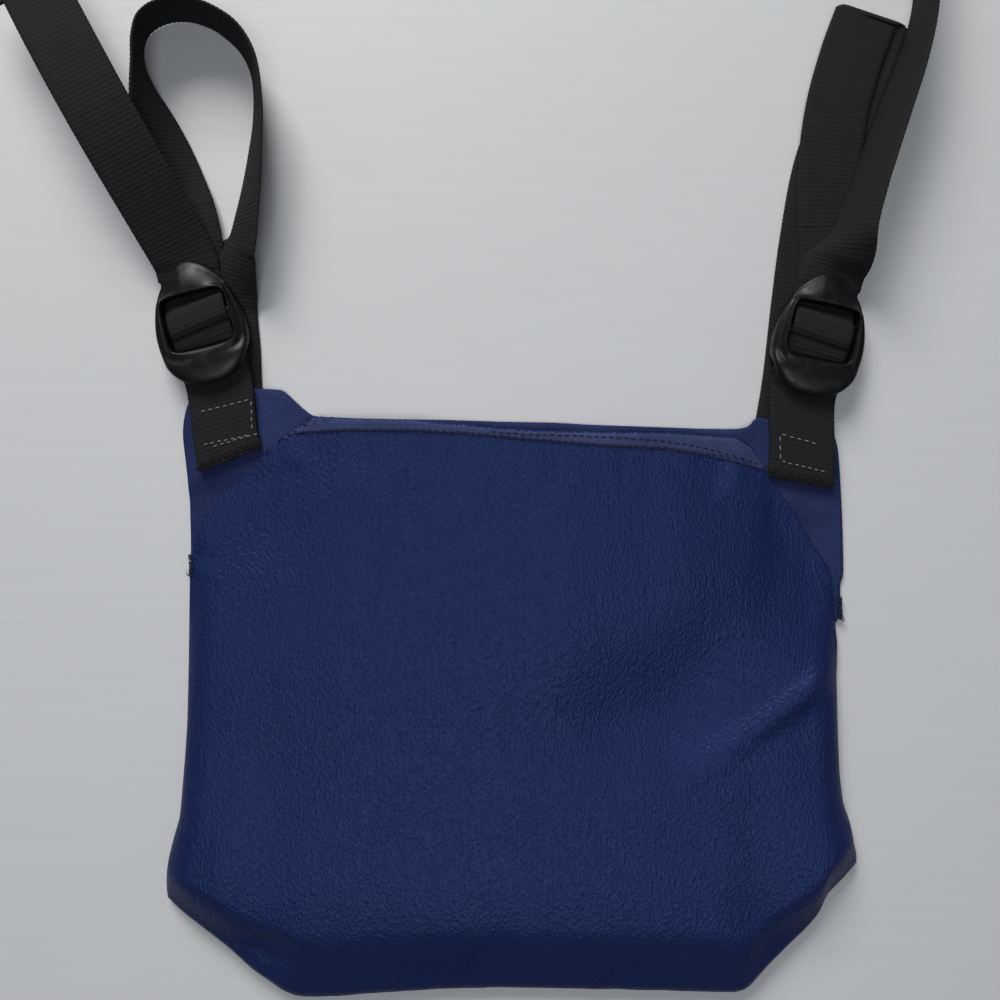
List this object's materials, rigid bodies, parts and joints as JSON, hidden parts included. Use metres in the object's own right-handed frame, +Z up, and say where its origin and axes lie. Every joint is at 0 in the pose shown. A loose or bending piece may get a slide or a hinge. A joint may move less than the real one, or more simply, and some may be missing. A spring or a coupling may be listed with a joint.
{
  "type": "arm sling",
  "caption": "Forearm sling: a flat sewn vinyl pouch open along its top, with an adjustable webbing loop and ladder-lock buckle at each end of the mouth.",
  "frame": {"origin": "on the resting plane, in the middle of the pouch's back panel", "axes": "+X to the right across the pouch, +Y from the pouch's bottom fold towards the straps, +Z up through the front panel"},
  "size_m": [0.3636, 0.435, 0.0295],
  "materials": {
    "vinyl_blue": "grained, semi-gloss coated cloth",
    "vinyl_backing": "matte knitted backing",
    "webbing_black": "ribbed polypropylene webbing",
    "buckle_plastic": "moulded, semi-gloss",
    "thread_dark": "matte",
    "thread_pale": "matte"
  },
  "bodies": {
    "pouch": {"back_panel": "vinyl_blue", "front_panel": "vinyl_blue", "front_hem": "vinyl_backing", "hem_stitch_lower": "thread_dark", "hem_stitch_upper": "thread_dark", "left_side_seam": "thread_dark", "right_side_seam": "thread_dark", "left_corner_seam": "thread_dark", "bottom_seam": "thread_dark", "right_corner_seam": "thread_dark", "left_bar_tack": "thread_dark", "right_bar_tack": "thread_dark", "left_strap_root": "webbing_black", "left_anchor_patch": "webbing_black", "left_box_stitch": "thread_pale", "right_strap_root": "webbing_black", "right_anchor_patch": "webbing_black", "right_box_stitch": "thread_pale"},
    "left_hanger": {"left_anchor_loop": "webbing_black", "left_strap_run": "webbing_black", "left_strap_loop": "webbing_black", "left_strap_feed": "webbing_black"},
    "left_buckle_set": {"left_buckle": "buckle_plastic", "left_strap_wrap": "webbing_black"},
    "left_tail_set": {"left_tail": "webbing_black", "left_tail_hem": "webbing_black", "left_tail_stitch": "thread_pale"},
    "right_hanger": {"right_anchor_loop": "webbing_black", "right_strap_run": "webbing_black", "right_strap_loop": "webbing_black", "right_strap_feed": "webbing_black"},
    "right_buckle_set": {"right_buckle": "buckle_plastic", "right_strap_wrap": "webbing_black"},
    "right_tail_set": {"right_tail": "webbing_black", "right_tail_hem": "webbing_black", "right_tail_stitch": "thread_pale"}
  },
  "joints": [
    {"name": "left_strap_swing", "type": "hinge", "parent": "pouch", "child": "left_hanger", "pos_m": [-0.11689, 0.12534, 0.0063], "axis": [0.9703, 0.2419, 0], "range_deg": [0, 95]},
    {"name": "left_buckle_tilt", "type": "hinge", "parent": "left_hanger", "child": "left_buckle_set", "pos_m": [-0.1197, 0.1366, 0.0064], "axis": [0.9703, 0.2419, 0], "range_deg": [0, 18]},
    {"name": "left_tail_slide", "type": "slide", "parent": "left_buckle_set", "child": "left_tail_set", "axis": [-0.4121, 0.8322, 0.3711], "range_m": [0, 0.08]},
    {"name": "right_strap_swing", "type": "hinge", "parent": "pouch", "child": "right_hanger", "pos_m": [0.11285, 0.11273, 0.0063], "axis": [0.9781, -0.2079, 0], "range_deg": [0, 95]},
    {"name": "right_buckle_tilt", "type": "hinge", "parent": "right_hanger", "child": "right_buckle_set", "pos_m": [0.1169, 0.1318, 0.0064], "axis": [0.9781, -0.2079, 0], "range_deg": [0, 18]},
    {"name": "right_tail_slide", "type": "slide", "parent": "right_buckle_set", "child": "right_tail_set", "axis": [0.2079, 0.9781, 0], "range_m": [0, 0.08]}
  ]
}
